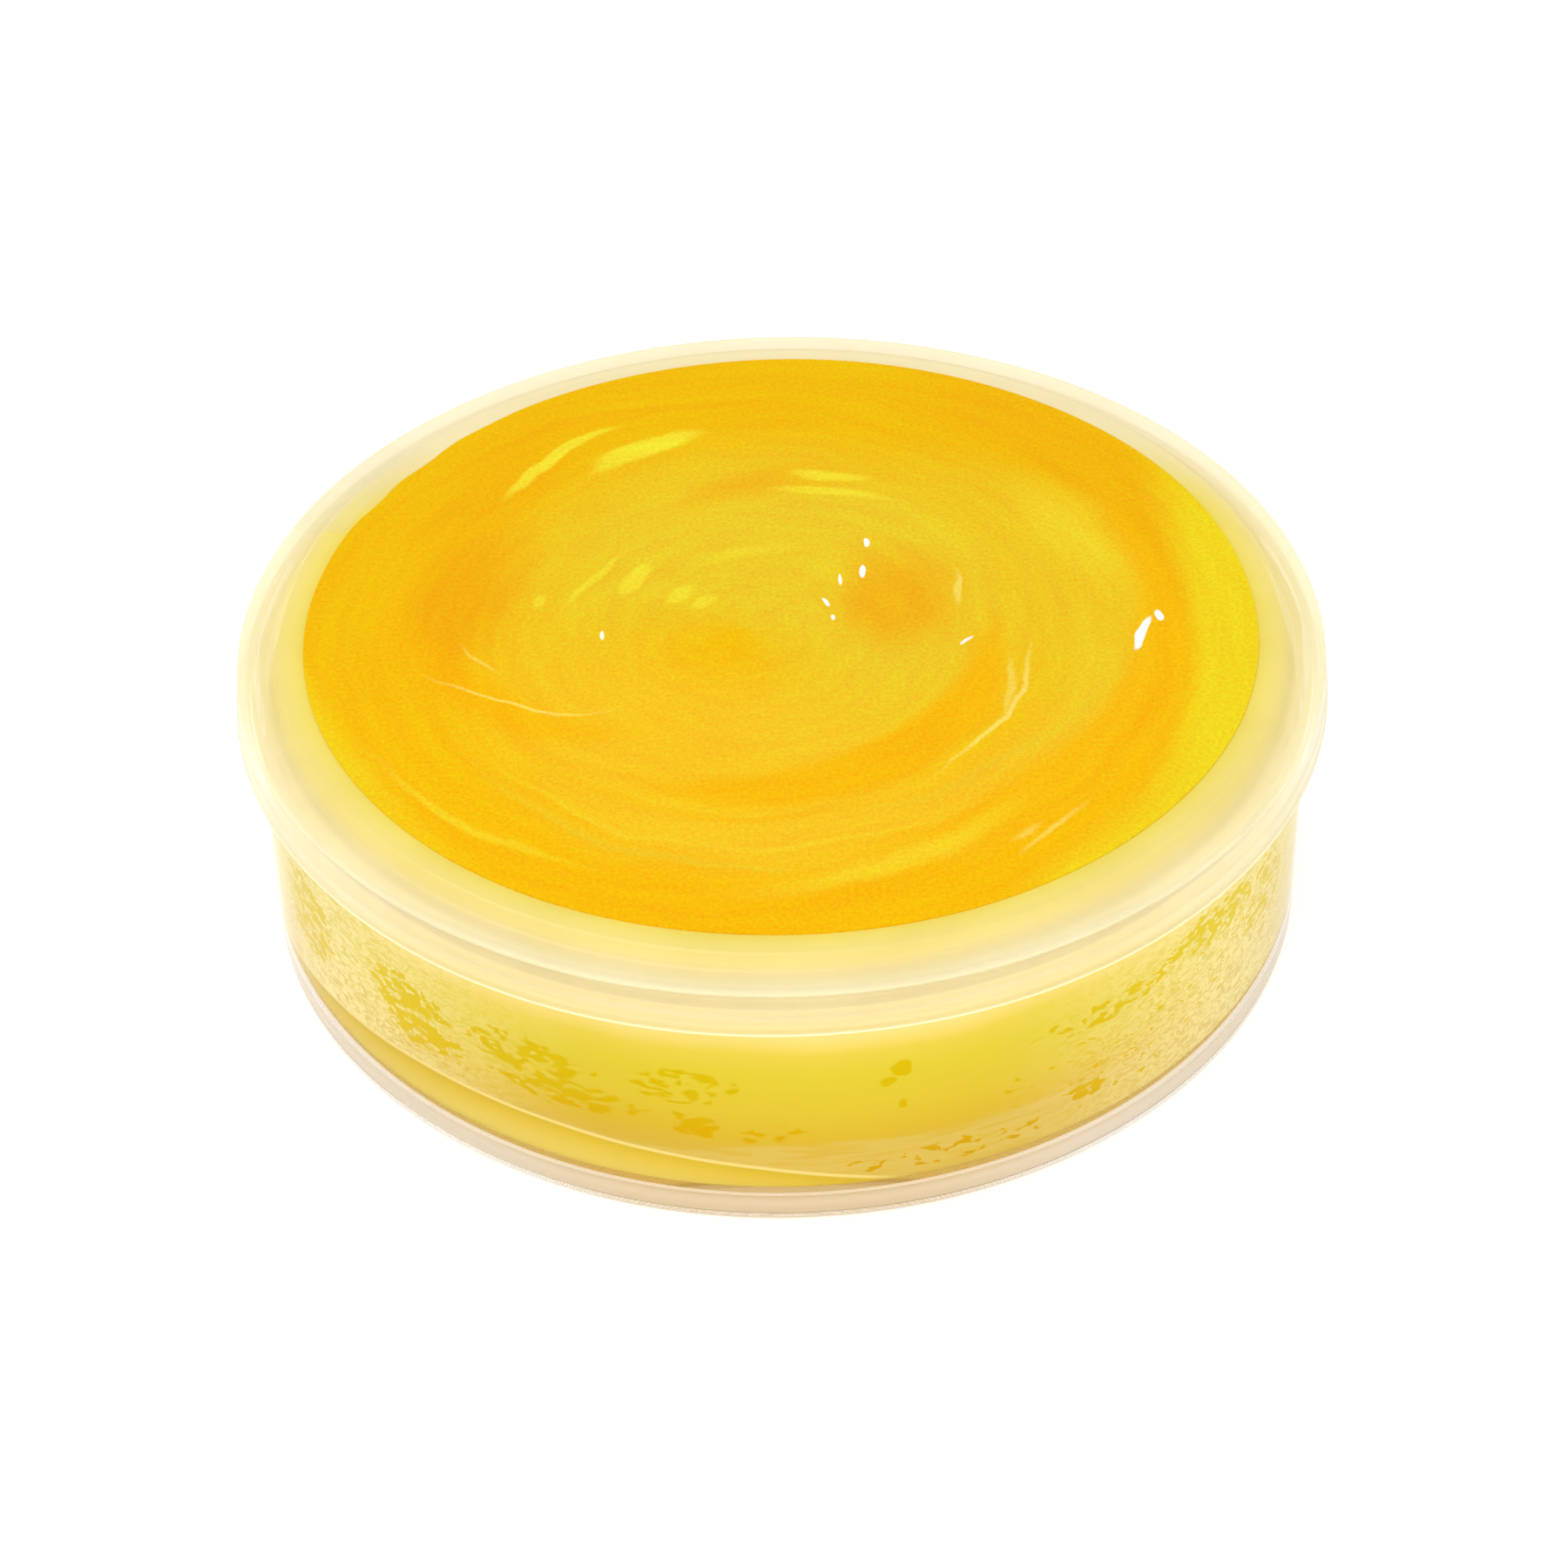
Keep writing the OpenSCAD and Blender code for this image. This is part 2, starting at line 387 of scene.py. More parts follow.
def sagging(tree, colour, angle, height, wander):
    """The wall's paint with its sag: smooth under the bow, with a thin bright line on top."""
    bow = tree.math("MULTIPLY_ADD", angle, 1 / SAG_REACH, -SAG_ANGLE / SAG_REACH)
    bow_z = tree.math("MULTIPLY_ADD", tree.math("MULTIPLY", bow, bow), -SAG_DROP, SAG_TOP)
    sag = tree.math("SUBTRACT", height, tree.math("MULTIPLY_ADD", wander, 0.5, bow_z))
    inside = tree.ramp(tree.math("ABSOLUTE", bow), 1.35, 1.15)
    smooth = tree.math("MULTIPLY", tree.ramp(sag, 0.12, 0.0), inside)
    sagged = tree.colours(tree.ramp(sag, -2.6, 0.0, smooth=False), (
        (0.0, linear(219, 192, 88)), (0.6, linear(214, 182, 62)), (0.92, linear(205, 170, 44))))
    line = tree.math("MULTIPLY", tree.ramp(tree.math("ABSOLUTE", sag), 0.24, 0.08), inside)
    colour = tree.mix(smooth, colour, sagged)
    return tree.mix(tree.math("MULTIPLY", line, 0.7), colour, linear(236, 214, 136))


def open_paint(tree, place):
    """The stirred top face: wet, with soft ripples."""
    ripple = tree.noise(place, 160.0, detail=3.0, distortion=1.0)
    colour = tree.mix(tree.ramp(ripple, 0.35, 0.65), linear(238, 204, 40), linear(243, 211, 48))
    return tree.add("ShaderNodeBsdfPrincipled", {
        "Base Color": colour, "Roughness": 0.24, "IOR": 1.45,
        "Normal": tree.bump(ripple, 0.15, 0.1 * MM)}).outputs[0]


def under_paint(tree):
    """The underside, seen through the clear floor: a colour painted paler than the paint and a
    weak emission, a painted glow that stands in for light coming up through the clear floor.
    """
    painted_underside_glow = tree.add("ShaderNodeEmission", {
        "Color": linear(255, 212, 96), "Strength": 0.19}).outputs[0]
    pale = tree.add("ShaderNodeBsdfDiffuse", {"Color": linear(250, 226, 150)}).outputs[0]
    return tree.add("ShaderNodeAddShader", {0: pale, 1: painted_underside_glow}).outputs[0]


def wet_paint():
    """Thick yellow paint: a pale film on the wall, with wetted patches that show deeper."""
    tree = Tree("wet_paint")
    place = tree.place()
    x, y, z = tree.split(place)
    angle = front_angle(tree, x, y)
    height = tree.math("MULTIPLY", z, 1 / MM)
    aside = tree.math("ABSOLUTE", angle)
    side = tree.math("MULTIPLY", tree.ramp(aside, 18.0, 60.0),
                     tree.ramp(aside, 60.0, 85.0, 1.0, 0.4))
    wander = tree.noise(place, 60.0, detail=2.0)
    flat = tree.vector("MULTIPLY", place, (1.0, 1.0, 2.2))

    colour = wall_film(tree, place, height, wander)
    colour = scratched(tree, colour, flat, side)
    colour = wetted(tree, colour, flat, side, angle, height)
    colour = sagging(tree, colour, angle, height, wander)

    on_wall = tree.ramp(tree.vector("LENGTH", tree.join(x, y)),
                        CUP_INNER_R - 1.2 * MM, CUP_INNER_R - 0.5 * MM)
    film = tree.add("ShaderNodeBsdfDiffuse", {"Color": colour}).outputs[0]
    body = tree.mix_shader(on_wall, open_paint(tree, place), film)
    # The underside takes the painted glow and pale colour of under_paint.
    low = tree.ramp(z, FLOOR_TOP + 0.12 * MM, FLOOR_TOP)
    return tree.finish(tree.mix_shader(low, body, under_paint(tree)))


# ---------------------------------------------------------------- the label's picture

# The swirl turns about this place. Places and widths are in label radii.
SWIRL_MIDDLE = (-0.07, -0.02)

AMBER = linear(239, 178, 2)
DEEP_AMBER = linear(233, 162, 6)
APRICOT = linear(237, 193, 38)
GOLD = linear(227, 195, 38)
LIME = linear(232, 211, 30)
PALE = linear(236, 222, 50)
CREAM = linear(246, 232, 120)
GLINT = linear(255, 255, 250)

# Strokes of the picture, from the lowest layer up. Each is an oval bent round the swirl:
# colour, strength, angle of its middle (degrees, anticlockwise from +X), radius of its
# middle, half its angle, half its width, how much further out its far end is, softness.
STROKES = (
    # Wide zones of colour
    (GOLD, 0.9, 60, 0.30, 130, 0.34, 0.0, 0.45),
    (APRICOT, 0.55, 255, 0.42, 62, 0.24, 0.0, 0.5),
    (APRICOT, 0.6, 300, 0.74, 60, 0.11, 0.06, 0.6),
    (AMBER, 0.6, 280, 0.93, 70, 0.12, 0.0, 0.6),
    (GOLD, 0.6, 10, 0.72, 40, 0.12, 0.0, 0.6),
    # Darker smears
    (DEEP_AMBER, 0.75, 172, 0.62, 22, 0.10, 0.02, 0.7),
    (DEEP_AMBER, 0.35, 142, 0.74, 22, 0.12, -0.06, 0.8),
    (DEEP_AMBER, 0.7, 14, 0.33, 26, 0.12, 0.02, 0.6),
    (DEEP_AMBER, 0.5, 88, 0.53, 20, 0.05, -0.06, 0.7),
    (DEEP_AMBER, 0.4, 38, 0.95, 26, 0.10, 0.0, 0.7),
    (AMBER, 0.8, 205, 0.58, 26, 0.06, -0.14, 0.6),
    (AMBER, 0.9, 303, 0.53, 52, 0.06, -0.02, 0.35),
    (AMBER, 0.8, 334, 0.83, 44, 0.06, 0.05, 0.4),
    (AMBER, 0.45, 238, 0.80, 30, 0.010, 0.03, 0.6),
    (AMBER, 0.4, 232, 0.69, 26, 0.008, 0.05, 0.6),
    (AMBER, 0.4, 262, 0.62, 34, 0.012, 0.02, 0.6),
    (DEEP_AMBER, 0.3, 118, 0.86, 34, 0.014, 0.04, 0.7),
    (GOLD, 0.5, 250, 0.75, 28, 0.010, 0.04, 0.6),
    (GOLD, 0.5, 318, 0.70, 26, 0.012, 0.05, 0.6),
    (GOLD, 0.4, 100, 0.42, 30, 0.012, -0.03, 0.6),
    # Yellow-green zones at the edge
    (LIME, 0.8, 356, 1.06, 32, 0.13, 0.0, 0.3),
    (LIME, 0.65, 322, 1.07, 22, 0.10, 0.0, 0.5),
    (LIME, 0.6, 207, 0.95, 20, 0.05, 0.0, 0.7),
    # Pale strokes and thin wet lines
    (PALE, 0.35, 25, 0.78, 14, 0.07, 0.0, 0.7),
    (PALE, 0.8, 108, 0.70, 10, 0.030, -0.03, 0.3),
    (PALE, 0.8, 124, 0.76, 12, 0.017, -0.03, 0.3),
    (PALE, 0.65, 70, 0.53, 13, 0.016, -0.02, 0.4),
    (PALE, 0.65, 72, 0.59, 8, 0.018, -0.02, 0.4),
    (PALE, 0.7, 143, 0.30, 11, 0.022, -0.01, 0.3),
    (PALE, 0.55, 150, 0.385, 14, 0.010, 0.0, 0.4),
    (PALE, 0.6, 140, 0.19, 12, 0.020, 0.0, 0.4),
    (PALE, 0.6, 133, 0.13, 12, 0.020, 0.0, 0.4),
    (PALE, 0.35, 86, 0.28, 16, 0.020, -0.02, 0.6),
    (PALE, 0.5, 166, 0.45, 3, 0.014, 0.0, 0.4),
    (PALE, 0.4, 290, 0.83, 18, 0.025, -0.02, 0.7),
    (PALE, 0.4, 226, 0.85, 17, 0.010, -0.02, 0.7),
    (PALE, 0.25, 262, 0.71, 40, 0.008, 0.04, 0.7),
    (CREAM, 0.5, 208, 0.53, 12, 0.006, -0.12, 0.6),
    (CREAM, 0.3, 190, 0.56, 5, 0.005, -0.03, 0.6),
    (CREAM, 0.55, 330, 0.61, 18, 0.006, -0.01, 0.6),
    (CREAM, 0.3, 336, 0.585, 9, 0.008, -0.02, 0.5),
    (CREAM, 0.35, 311, 0.91, 5, 0.006, -0.01, 0.6),
    (CREAM, 0.3, 308, 0.885, 2, 0.008, 0.0, 0.6),
    (CREAM, 0.45, 16, 0.46, 6, 0.006, 0.01, 0.6),
    # White glints
    (GLINT, 1.0, 357, 0.82, 4.0, 0.011, 0.02, 0.2),
    (GLINT, 1.0, 1.5, 0.86, 1.5, 0.008, 0.0, 0.2),
    (GLINT, 1.0, 36, 0.31, 3, 0.008, 0.01, 0.2),
    (GLINT, 0.9, 37, 0.25, 4, 0.005, 0.01, 0.2),
    (GLINT, 0.9, 47, 0.38, 2, 0.008, 0.01, 0.2),
    (GLINT, 0.9, 24, 0.18, 5, 0.005, 0.0, 0.2),
    (GLINT, 0.9, 6, 0.18, 3, 0.005, 0.0, 0.2),
    (GLINT, 0.8, 184, 0.31, 3, 0.004, 0.0, 0.2),
    (GLINT, 0.8, 351, 0.465, 2, 0.006, 0.01, 0.2),
)


def add_stroke(tree, angle, radius, below, stroke):
    """The picture's colour with one more stroke laid over what is below it."""
    colour, strength, middle, out, half_angle, half_width, lean, soft = stroke
    turn = tree.math("WRAP", tree.math("SUBTRACT", angle, middle), 180.0, -180.0)
    along = tree.math("MULTIPLY", turn, 1 / half_angle)
    level = tree.math("MULTIPLY_ADD", along, -lean, tree.math("SUBTRACT", radius, out))
    across = tree.math("MULTIPLY", level, 1 / half_width)
    distance = tree.vector("LENGTH", tree.join(along, across))
    amount = tree.ramp(distance, 1 + soft, 1 - soft, 0.0, strength)
    return tree.mix(amount, below, colour)


def halftone(tree, place):
    """Rows of fine print dots at 45 degrees, as a wave from -1 to 1."""
    pitch = 2 * LABEL_R / SCREEN_DOTS
    x, y, _ = tree.split(tree.vector("MULTIPLY", place, (2 * math.pi / pitch,) * 3))
    rising = tree.math("MULTIPLY", tree.math("ADD", x, y), math.sqrt(0.5))
    falling = tree.math("MULTIPLY", tree.math("SUBTRACT", x, y), math.sqrt(0.5))
    return tree.math("MULTIPLY", tree.math("SINE", rising), tree.math("SINE", falling))


def bent(tree, place):
    """A place on the label in label radii from its middle, bent so that strokes wander."""
    flat = tree.vector("MULTIPLY", place, (1 / LABEL_R,) * 3)
    wander = tree.add("ShaderNodeTexNoise", {
        "Vector": flat, "Scale": 3.5, "Detail": 3.0}).outputs["Color"]
    shift = tree.vector("MULTIPLY", tree.vector("SUBTRACT", wander, (0.5,) * 3), (0.09,) * 3)
    frayed = tree.add("ShaderNodeTexNoise", {
        "Vector": flat, "Scale": 20.0, "Detail": 2.0}).outputs["Color"]
    fray = tree.vector("MULTIPLY", tree.vector("SUBTRACT", frayed, (0.5,) * 3), (0.010,) * 3)
    return tree.vector("ADD", tree.vector("ADD", flat, shift), fray)


def ink_shade(tree, place, x, y, radius):
    """How strongly the ink prints: streaks along the swirl, grain, and the halftone dots."""
    around = tree.vector("NORMALIZE", tree.join(x, y))
    drawn = tree.vector("ADD", tree.vector("MULTIPLY", around, (2.2, 2.2, 0)),
                        tree.join(0.0, 0.0, tree.math("MULTIPLY", radius, 26.0)))
    streaks = tree.noise(drawn, 1.0, detail=4.0, roughness=0.6)
    grain = tree.noise(place, 3000.0, detail=4.0, roughness=0.8)
    shade = tree.ramp(streaks, 0.25, 0.75, 0.91, 1.09, smooth=False)
    shade = tree.math("MULTIPLY", shade, tree.ramp(grain, 0.3, 0.7, 0.78, 1.22, smooth=False))
    dots = tree.math("MULTIPLY_ADD", halftone(tree, place), 0.14, 1.0)
    return tree.math("MULTIPLY", shade, dots)


def label_print():
    """Matt paper printed with a generic swirl of yellow paint, in halftone dots."""
    tree = Tree("label_print")
    place = tree.place()
    x, y, _ = tree.split(tree.vector("SUBTRACT", bent(tree, place), (*SWIRL_MIDDLE, 0)))
    radius = tree.vector("LENGTH", tree.join(x, y))
    angle = tree.math("MULTIPLY", tree.math("ARCTAN2", y, x), 180 / math.pi)
    colour = tree.mix(tree.ramp(y, -0.9, 0.7), linear(238, 184, 4), linear(232, 181, 4))
    for stroke in STROKES:
        colour = add_stroke(tree, angle, radius, colour, stroke)

    shade = ink_shade(tree, place, x, y, radius)
    ink = tree.mix(1.0, colour, tree.join(1.0, shade, shade), "MULTIPLY")
    fibres = tree.noise(place, 1400.0, detail=3.0)
    shader = tree.add("ShaderNodeBsdfPrincipled", {
        "Base Color": ink, "Roughness": 0.75, "IOR": 1.4, "Specular IOR Level": 0.05,
        "Normal": tree.bump(fibres, 0.1, 0.05 * MM)})
    return tree.finish(shader.outputs[0])


# ---------------------------------------------------------------- turned meshes

def arc(r, z, radius, start, end, steps=8):
    """Points of an arc about (r, z) from angle start to end, in degrees."""
    angles = [math.radians(start + (end - start) * i / steps) for i in range(steps + 1)]
    return [(r + radius * math.cos(a), z + radius * math.sin(a)) for a in angles]


def ease(r0, z0, r1, z1, steps=8, upright=False):
    """Points of an S-shaped step between two ends. upright eases r as z runs evenly."""
    points = []
    for i in range(steps + 1):
        even = i / steps
        eased = (1 - math.cos(math.pi * even)) / 2
        across, along = (eased, even) if upright else (even, eased)
        points.append((r0 + (r1 - r0) * across, z0 + (z1 - z0) * along))
    return points


def spread(outline, longest):
    """The same closed outline with its long straight runs cut into shorter ones."""
    points = []
    for here, ahead in zip(outline, outline[1:] + outline[:1]):
        length = math.hypot(ahead[0] - here[0], ahead[1] - here[1])
        cuts = max(1, math.ceil(length / longest))
        points += [(here[0] + (ahead[0] - here[0]) * i / cuts,
                    here[1] + (ahead[1] - here[1]) * i / cuts) for i in range(cuts)]
    return points


def turned(name, outline, material, shift=None, sharp=40):
    """A closed outline of (r, z) points, anticlockwise, turned about Z into a solid mesh.
    shift(x, y, z) may move each point. Points at r = 0 become one vertex."""
    vertices, rings = [], []
    for r, z in outline:
        if r < 1e-7:
            rings.append([len(vertices)] * ROUND_STEPS)
            vertices.append((0.0, 0.0, z))
            continue
        rings.append(list(range(len(vertices), len(vertices) + ROUND_STEPS)))
        for i in range(ROUND_STEPS):
            angle = 2 * math.pi * i / ROUND_STEPS
            vertices.append((r * math.cos(angle), r * math.sin(angle), z))
    if shift:
        vertices = [shift(*v) for v in vertices]
    faces = []
    for low, high in zip(rings, rings[1:] + rings[:1]):
        for i in range(ROUND_STEPS):
            j = (i + 1) % ROUND_STEPS
            corners = []
            for v in (low[i], low[j], high[j], high[i]):
                if v not in corners:
                    corners.append(v)
            if len(corners) > 2:
                faces.append(corners)
    return mesh_piece(name, vertices, faces, material, sharp)


def mesh_piece(name, vertices, faces, material, sharp=40):
    """A smooth-shaded object whose edges are sharp where they turn more than an angle."""
    mesh = bpy.data.meshes.new(name)
    mesh.from_pydata(vertices, [], faces)
    mesh.validate()
    mesh.shade_smooth()
    mesh.set_sharp_from_angle(angle=math.radians(sharp))
    mesh.materials.append(material)
    piece = bpy.data.objects.new(name, mesh)
    bpy.context.scene.collection.objects.link(piece)
    return piece


def stand_for(piece, body, node):
    """The piece moves with a body of the frame and shows in place of one of its nodes."""
    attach(piece, body)
    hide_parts(node)


# ---------------------------------------------------------------- the pieces

def make_cup():
    """The cup's outline, from the middle of the underside round the foot ring and the rim."""
    edge = 0.4 * MM
    lip = 0.3 * MM
    bead_round = 0.6 * MM
    half = math.degrees(math.acos(1 - CUP_BEAD_OUT / bead_round))
    foot_r = CUP_R - FOOT_WIDTH
    outline = (
        [(0, FOOT_TOP)]
        + arc(foot_r - edge, FOOT_TOP - edge, edge, 90, 0)
        + arc(foot_r + edge, edge, edge, 180, 270)
        + arc(CUP_R - edge, edge, edge, -90, 0)
        + arc(CUP_R + CUP_BEAD_OUT - bead_round, CUP_BEAD_Z, bead_round, -half, half)
        + arc(CUP_R - lip, CUP_TOP - lip, lip, 0, 90)
        + arc(CUP_INNER_R + lip, CUP_TOP - lip, lip, 90, 180)
        + arc(CUP_INNER_R - FLOOR_FILLET, FLOOR_TOP + FLOOR_FILLET, FLOOR_FILLET, 0, -90)
        + [(0, FLOOR_TOP)]
    )
    cup = turned("cup_shell", outline, clear_plastic())
    stand_for(cup, "cup", "cup")


def paint_relief(x, y, z):
    """Soft stirred ridges in the paint's top face; its wall and underside stay true."""
    stirred_r = PAINT_R - 1.0 * MM
    lump_size, twist, fade = 9 * MM, 5.5 * MM, 3 * MM
    hollow_depth, ripple_depth = 0.85, 0.12
    r = math.hypot(x, y)
    if z < PAINT_TOP - 0.1 * MM or r > stirred_r:
        return (x, y, z)
    lumps = noise.noise(Vector((x, y, 0)) / lump_size)
    turn = math.atan2(y, x) - r / twist + 0.8 * lumps
    hollow = (0.5 + 0.5 * math.cos(2 * turn)) ** 0.6
    ripple = 0.5 + 0.5 * math.cos(9 * turn + 2 * lumps)
    inside = min(1.0, (stirred_r - r) / fade)
    return (x, y, z - inside * (hollow_depth * hollow + ripple_depth * ripple) * MM)


def make_paint():
    """The paint, pressed a hair into the cup so that no air gap shows between them."""
    wall = CUP_INNER_R + PAINT_PRESS
    bottom = FLOOR_TOP - PAINT_PRESS
    top_round = 0.8 * MM
    outline = (
        [(0, bottom)]
        + arc(wall - FLOOR_FILLET, bottom + FLOOR_FILLET, FLOOR_FILLET, -90, 0)
        + [(wall, PAINT_WALL_Z), (PAINT_R, PAINT_WALL_Z)]
        + arc(PAINT_R - top_round, PAINT_TOP - top_round, top_round, 0, 90)
        + [(0, PAINT_TOP)]
    )
    paint = turned("paint_fill", spread(outline, 0.7 * MM), wet_paint(), shift=paint_relief)
    stand_for(paint, "cup", "paint")


def lid_outside():
    """The lid's outside from the panel's edge, over the rim, to the skirt's lower lip."""
    corner = 0.28 * MM
    groove = 0.06 * MM
    shoulder_r = RIM_R + 0.05 * MM
    lower_r = SKIRT_R - 0.12 * MM
    lip = 0.25 * MM
    return (
        ease(PANEL_R, PANEL_Z, PANEL_R + STEP_WIDTH, RIM_Z - 0.05 * MM)
        + ease(RIM_R - 0.9 * MM, RIM_Z - 0.05 * MM, RIM_R - 0.5 * MM, RIM_Z, 4)
        + arc(RIM_R - corner, RIM_Z - corner, corner, 90, 0)
        + [(RIM_R - groove, RIM_Z - 0.42 * MM)]
        + ease(RIM_R, RIM_Z - 0.6 * MM, shoulder_r, SKIRT_Z + 2.3 * MM, 6, upright=True)
        + ease(shoulder_r, SKIRT_Z + 2.1 * MM, lower_r, SKIRT_Z + 1.6 * MM, upright=True)
        + ease(lower_r, SKIRT_Z + 0.75 * MM, SKIRT_R - 0.01 * MM, SKIRT_Z + 0.4 * MM, 5,
               upright=True)
        + arc(SKIRT_R - lip, SKIRT_Z + lip, lip, 10, -90)
    )


def make_lid():
    """The lid's underside with its plug ring and bead, then its outside back to the middle."""
    bead_round = 0.6 * MM
    half = math.degrees(math.acos(1 - LID_BEAD_IN / bead_round))
    plug_edge = 0.25 * MM
    under = PANEL_Z - PANEL_THICK
    outline = (
        [(0, under), (PLUG_INNER_R, under)]
        + arc(PLUG_INNER_R + plug_edge, PLUG_Z + plug_edge, plug_edge, 180, 270)
        + arc(PLUG_OUTER_R - plug_edge, PLUG_Z + plug_edge, plug_edge, -90, 0)
        + [(PLUG_OUTER_R, CUP_TOP), (SKIRT_INNER_R, CUP_TOP)]
        + arc(SKIRT_INNER_R + bead_round - LID_BEAD_IN, LID_BEAD_Z, bead_round,
              180 - half, 180 + half)
        + [(SKIRT_INNER_R + 0.1 * MM, SKIRT_Z)]
        + list(reversed(lid_outside()))
        + [(0, PANEL_Z)]
    )
    lid = turned("lid_shell", spread(outline, 3 * MM), milky_plastic())
    stand_for(lid, "lid", "lid")


def label_edge(angle):
    """The label's radius at an angle: round, but for small flats cut at the rear left."""
    degrees = math.degrees(angle) % 360
    # Each flat's direction and width in degrees, and its depth in mm.
    flats = ((142, 5, 0.45), (152, 4, 0.4), (131, 4, 0.15))
    inset = 0.07
    cut = sum(depth * math.exp(-((degrees - at) / width) ** 2) for at, width, depth in flats)
    wave = 0.04 * math.sin(3 * angle) + 0.03 * math.sin(7 * angle + 1)
    return LABEL_R - (cut + inset + wave) * MM


def make_label():
    """A thin disc whose rim follows label_edge."""
    def trimmed(x, y, z):
        r = math.hypot(x, y)
        angle = math.atan2(y, x)
        scale = label_edge(angle) / LABEL_R if r > 0 else 1
        return (x * scale, y * scale, z)

    low = PANEL_Z + 0.005 * MM
    outline = [(0, low), (LABEL_R, low), (LABEL_R, LABEL_HIGH.z), (0, LABEL_HIGH.z)]
    label = turned("label_paper", spread(outline, 2 * MM), label_print(), shift=trimmed)
    stand_for(label, "lid", "label")


def tape_points(path, across):
    """Two layers of points over a path down the lid, with creases. w runs across the strip."""
    gap, thick, crease_height = 0.02 * MM, 0.05 * MM, 0.05 * MM
    points = []
    for layer in (0, 1):
        for i, (r, z) in enumerate(path):
            before, after = path[max(i - 1, 0)], path[min(i + 1, len(path) - 1)]
            along = Vector((after[0] - before[0], after[1] - before[1])).normalized()
            for j in range(across + 1):
                w = TAPE_WIDTH * (j / across - 0.5)
                crease = noise.noise(Vector((w / MM * 0.8, r / MM * 0.5, z / MM * 0.5)))
                lift = gap + layer * thick + crease_height * abs(crease)
                turn = TAPE_ANGLE + math.asin(w / r)
                out = r - along.y * lift
                points.append((out * math.cos(turn), out * math.sin(turn), z + along.x * lift))
    return points


def tape_faces(rows, across):
    """The faces of the two layers, and those round the edges that close them to one film."""
    def at(layer, i, j):
        return (layer * rows + i) * (across + 1) + j

    faces = []
    for i in range(rows - 1):
        for j in range(across):
            faces.append((at(1, i, j), at(1, i + 1, j), at(1, i + 1, j + 1), at(1, i, j + 1)))
            faces.append((at(0, i, j), at(0, i, j + 1), at(0, i + 1, j + 1), at(0, i + 1, j)))
        faces.append((at(0, i, 0), at(0, i + 1, 0), at(1, i + 1, 0), at(1, i, 0)))
        faces.append((at(0, i + 1, across), at(0, i, across), at(1, i, across),
                      at(1, i + 1, across)))
    last = rows - 1
    for j in range(across):
        faces.append((at(0, 0, j + 1), at(0, 0, j), at(1, 0, j), at(1, 0, j + 1)))
        faces.append((at(0, last, j), at(0, last, j + 1), at(1, last, j + 1), at(1, last, j)))
    return faces


def make_tape():
    """A film over the lid's outside, from beside the label to just above the skirt's lip."""
    lip_points = 6
    across = 56
    path = [(LABEL_R + 0.25 * MM, PANEL_Z)] + lid_outside()[:-lip_points]
    points, faces = tape_points(path, across), tape_faces(len(path), across)
    tape = mesh_piece("tape_strip", points, faces, clear_tape(), sharp=50)
    stand_for(tape, "lid", "seal_tape")


# ---------------------------------------------------------------- the studio

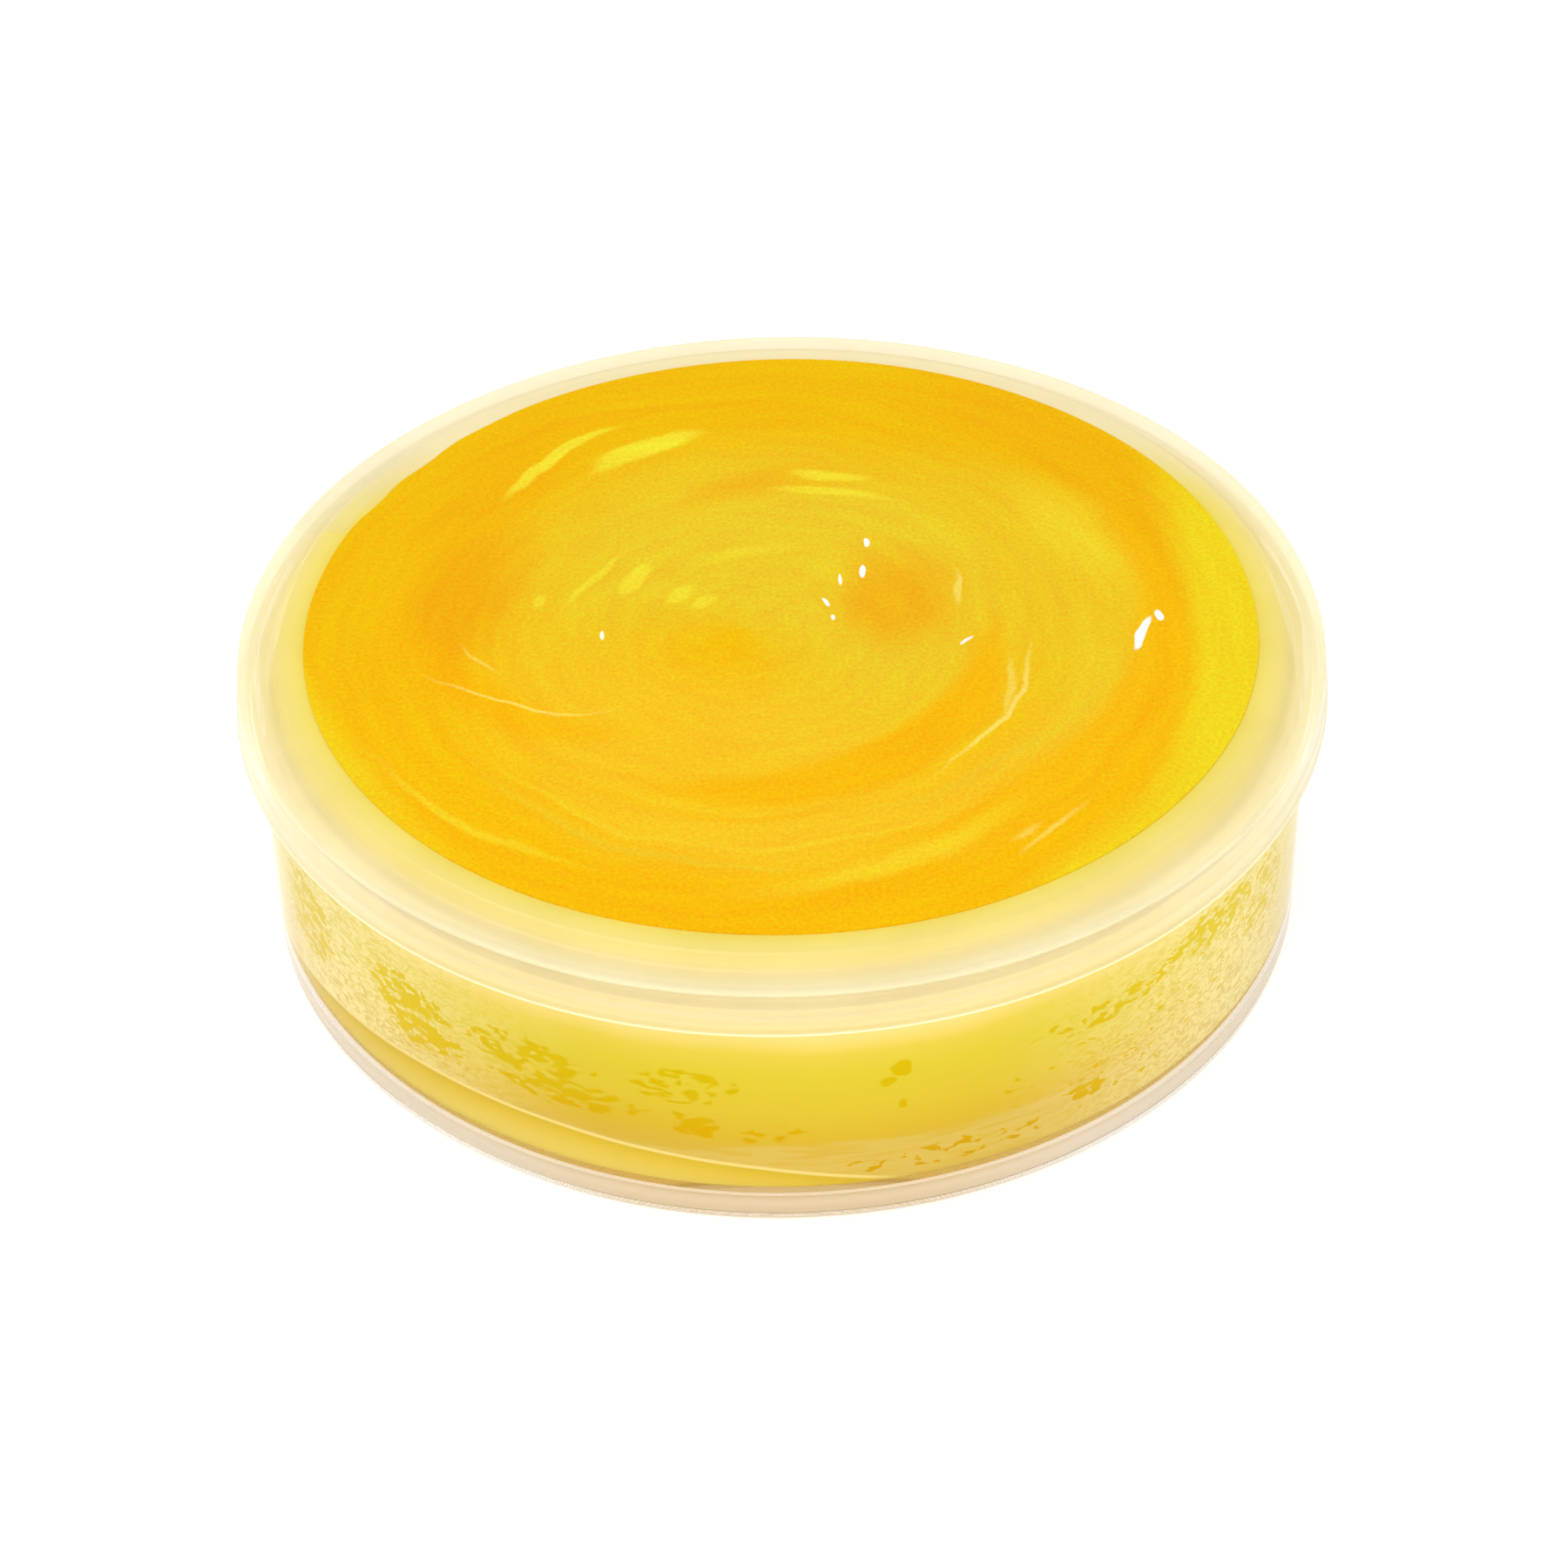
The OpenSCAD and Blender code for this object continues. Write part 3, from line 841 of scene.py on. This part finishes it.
def make_floor():
    """A pale table top. Its faint glow keeps it white right up to the tub."""
    half = 1.5
    corners = [(-half, -half, 0), (half, -half, 0), (half, half, 0), (-half, half, 0)]
    tree = Tree("floor_white")
    tone = tree.noise(tree.place(), 3.0)
    paper = tree.add("ShaderNodeBsdfDiffuse", {
        "Color": tree.mix(tone, (0.93, 0.93, 0.94, 1), (0.96, 0.96, 0.965, 1))}).outputs[0]
    lit = tree.add("ShaderNodeEmission", {
        "Color": (0.95, 0.975, 1, 1), "Strength": 0.43}).outputs[0]
    both = tree.add("ShaderNodeAddShader", {0: paper, 1: lit}).outputs[0]
    floor = mesh_piece("floor", corners, [(0, 1, 2, 3)], tree.finish(both))


def make_lights():
    """An even white surround, a soft box above, and a fill at each side of the front."""
    world = bpy.data.worlds.new("studio")
    world.use_nodes = True
    background = world.node_tree.nodes["Background"]
    background.inputs["Color"].default_value = (1.0, 1.0, 1.0, 1)
    background.inputs["Strength"].default_value = 0.74
    bpy.context.scene.world = world
    soft_box("key", (-0.15, 0.1, 0.6), 0.4, 1.15)
    soft_box("fill_left", (-0.3, -0.65, 0.3), 0.5, 1.2)
    soft_box("fill_right", (0.45, -0.5, 0.25), 0.5, 0.95)


def soft_box(name, place, size, power):
    """A square area light of the given size, aimed at the tub."""
    lamp = bpy.data.lights.new(name, "AREA")
    lamp.shape = "SQUARE"
    lamp.size = size
    lamp.energy = power
    light = bpy.data.objects.new(name, lamp)
    light.location = place
    aim = Vector(place) - Vector((0, 0, RIM_Z))
    light.rotation_euler = aim.to_track_quat("Z", "Y").to_euler()
    bpy.context.scene.collection.objects.link(light)


def make_camera():
    """A 91 mm lens, 39 degrees down, 0.32 m from the lid, with a slight roll."""
    pitch, roll = math.radians(39.12), math.radians(-1.24)
    back, rise = 0.2541, 0.1908
    place = Vector((0, -back, RIM_Z + rise))
    ahead = Vector((0, math.cos(pitch), -math.sin(pitch)))
    right = Vector((1, 0, 0))
    up = right.cross(ahead)
    x_axis = math.cos(roll) * right + math.sin(roll) * up
    y_axis = -math.sin(roll) * right + math.cos(roll) * up
    camera = bpy.data.objects.new("camera", bpy.data.cameras.new("camera"))
    camera.data.sensor_width = 36
    camera.data.lens = 91.1
    camera.data.clip_start = 0.01
    axes = Matrix((x_axis, y_axis, -ahead)).transposed().to_4x4()
    camera.matrix_world = Matrix.Translation(place) @ axes
    bpy.context.scene.collection.objects.link(camera)
    bpy.context.scene.camera = camera


make_camera()
make_floor()
make_lights()
make_cup()
make_paint()
make_lid()
make_label()
make_tape()
bpy.context.scene.view_settings.view_transform = "Standard"
